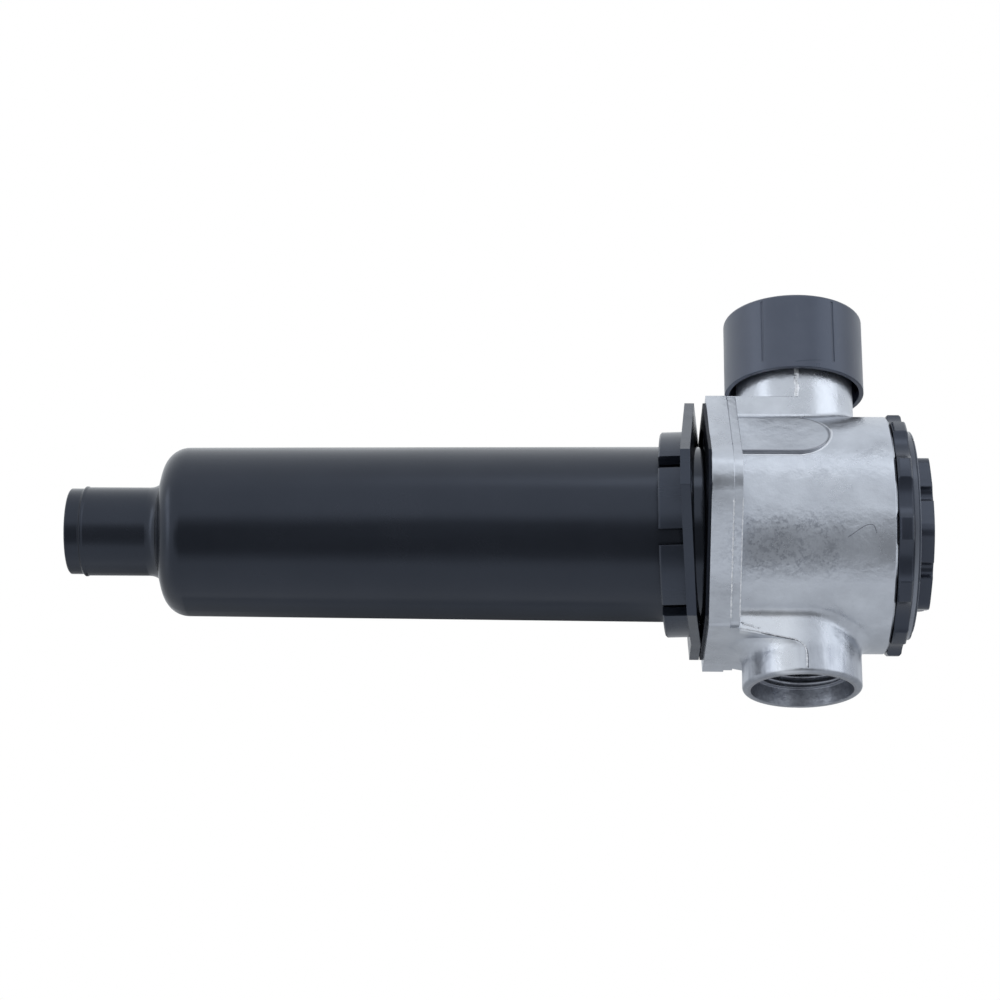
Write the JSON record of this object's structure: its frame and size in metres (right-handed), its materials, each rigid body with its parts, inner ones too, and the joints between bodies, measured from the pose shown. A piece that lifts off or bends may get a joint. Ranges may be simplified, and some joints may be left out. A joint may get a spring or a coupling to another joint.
{
  "type": "return line filter",
  "caption": "Tank-top hydraulic return line filter: cast head with threaded inlet, screw cover, air breather, hanging bowl with hose nozzle and a lift-out element with bypass valve.",
  "frame": {"origin": "centre of the head's tank mounting face, midway between the two bolt holes", "axes": "+Z along the filter axis towards the screw cover, +X along the threaded port, -X along the breather, bolt lugs on Y"},
  "size_m": [0.1425, 0.1238, 0.3087],
  "materials": {
    "cast_aluminium": "as-cast, mottled",
    "black_plastic": "satin moulded",
    "slate_plastic": "satin moulded",
    "natural_plastic": "moulded",
    "seal_rubber": "smooth",
    "filter_paper": "pleated",
    "filter_foam": "open foam",
    "zinc_steel": "zinc plated",
    "spring_steel": "drawn wire"
  },
  "bodies": {
    "head": {"head": "cast_aluminium", "bowl": "black_plastic", "bowl_o_ring": "seal_rubber", "flange_gasket": "seal_rubber", "centring_collar": "black_plastic"},
    "element": {"element_top_cap": "natural_plastic", "element_bottom_cap": "natural_plastic", "pleated_media": "filter_paper", "core_tube": "zinc_steel", "element_o_ring": "seal_rubber", "bypass_cage": "natural_plastic", "bypass_spring": "spring_steel", "hold_down_spring": "spring_steel"},
    "bypass_valve": {"bypass_poppet": "natural_plastic"},
    "spring_seat": {"spring_seat": "natural_plastic"},
    "cover": {"screw_cover": "black_plastic", "cover_o_ring": "seal_rubber"},
    "breather_seal": {"breather_gasket": "seal_rubber"},
    "breather": {"breather_stem": "black_plastic", "breather_filter": "filter_foam", "breather_retainer": "black_plastic", "breather_cap": "slate_plastic"}
  },
  "joints": [
    {"name": "element_lift", "type": "slide", "parent": "head", "child": "element", "axis": [0, 0, 1], "range_m": [0, 0.27]},
    {"name": "bypass_opening", "type": "slide", "parent": "element", "child": "bypass_valve", "axis": [0, 0, -1], "range_m": [0, 0.005], "stiffness_N_per_m": 2500, "springref_m": -0.012, "deforming": ["bypass_spring"]},
    {"name": "cover_rise", "type": "slide", "parent": "element", "child": "spring_seat", "axis": [0, 0, 1], "range_m": [0, 0.012], "deforming": ["hold_down_spring"]},
    {"name": "cover_turn", "type": "hinge", "parent": "spring_seat", "child": "cover", "pos_m": [0, 0, 0.062], "axis": [0, 0, 1], "range_deg": [0, 1440]},
    {"name": "breather_rise", "type": "slide", "parent": "head", "child": "breather_seal", "axis": [-1, 0, 0], "range_m": [0, 0.0165]},
    {"name": "breather_turn", "type": "hinge", "parent": "breather_seal", "child": "breather", "pos_m": [-0.06, 0, 0.0337], "axis": [-1, 0, 0], "range_deg": [0, 2520]}
  ],
  "couplings": [
    {"joint": "cover_turn", "follows": "cover_rise", "rad_per_m": 2094.4},
    {"joint": "breather_rise", "follows": "breather_turn", "m_per_rad": 0.00036749}
  ]
}
